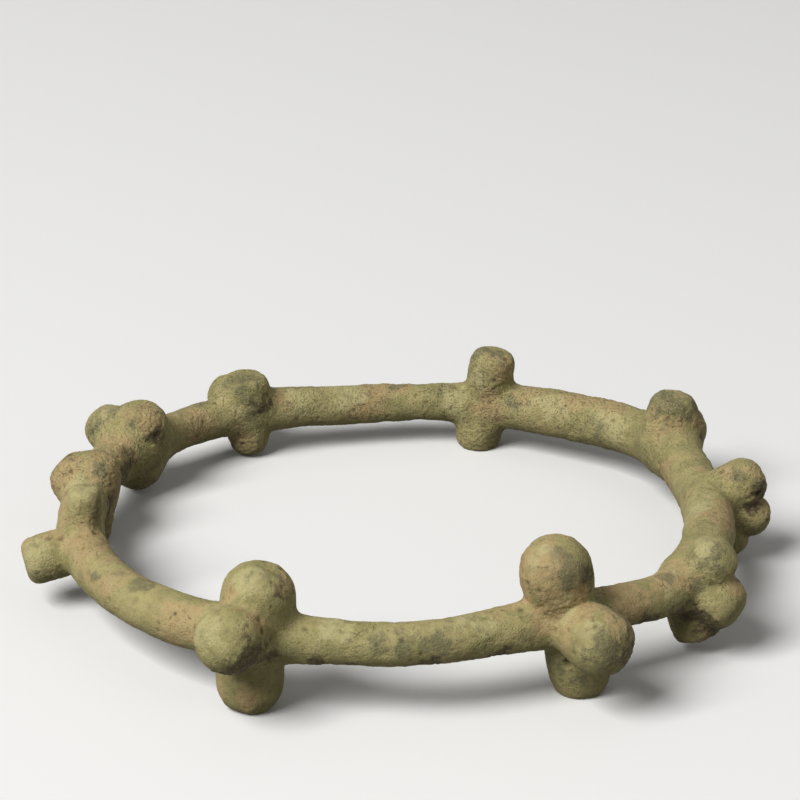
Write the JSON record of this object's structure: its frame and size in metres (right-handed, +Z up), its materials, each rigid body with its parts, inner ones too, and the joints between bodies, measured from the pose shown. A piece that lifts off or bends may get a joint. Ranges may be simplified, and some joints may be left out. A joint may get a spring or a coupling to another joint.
{
  "type": "bracelet",
  "caption": "Closed hoop of cast bronze with groups of rounded knobs that point up, outwards and down, in a pale olive patina.",
  "frame": {"origin": "on the surface the bracelet rests on, under the middle of its bounding box", "axes": "+Z up from the surface it lies on; +Y to the back of the ring, where the hoop is lowest; +X to the right"},
  "size_m": [0.087, 0.0852, 0.0191],
  "materials": {
    "patinated_bronze": "matt, pitted olive-green patina with tan soil"
  },
  "bodies": {
    "root": {"hoop": "patinated_bronze", "knob_back_top": "patinated_bronze", "knob_back_outer": "patinated_bronze", "knob_back_under": "patinated_bronze", "knob_back_left_top": "patinated_bronze", "knob_back_left_outer": "patinated_bronze", "knob_back_left_under": "patinated_bronze", "knob_left_back_top": "patinated_bronze", "knob_left_back_outer": "patinated_bronze", "knob_left_back_under": "patinated_bronze", "knob_left_top": "patinated_bronze", "knob_left_outer": "patinated_bronze", "knob_left_under": "patinated_bronze", "knob_left_front_top": "patinated_bronze", "knob_left_front_outer": "patinated_bronze", "knob_left_front_under": "patinated_bronze", "knob_front_left_top": "patinated_bronze", "knob_front_left_outer": "patinated_bronze", "knob_front_left_under": "patinated_bronze", "knob_front_right_top": "patinated_bronze", "knob_front_right_outer": "patinated_bronze", "knob_front_right_under": "patinated_bronze", "knob_right_front_top": "patinated_bronze", "knob_right_front_outer": "patinated_bronze", "knob_right_front_under": "patinated_bronze", "knob_right_top": "patinated_bronze", "knob_right_outer": "patinated_bronze", "knob_right_under": "patinated_bronze", "knob_right_back_top": "patinated_bronze", "knob_right_back_outer": "patinated_bronze", "knob_right_back_under": "patinated_bronze"}
  },
  "joints": []
}
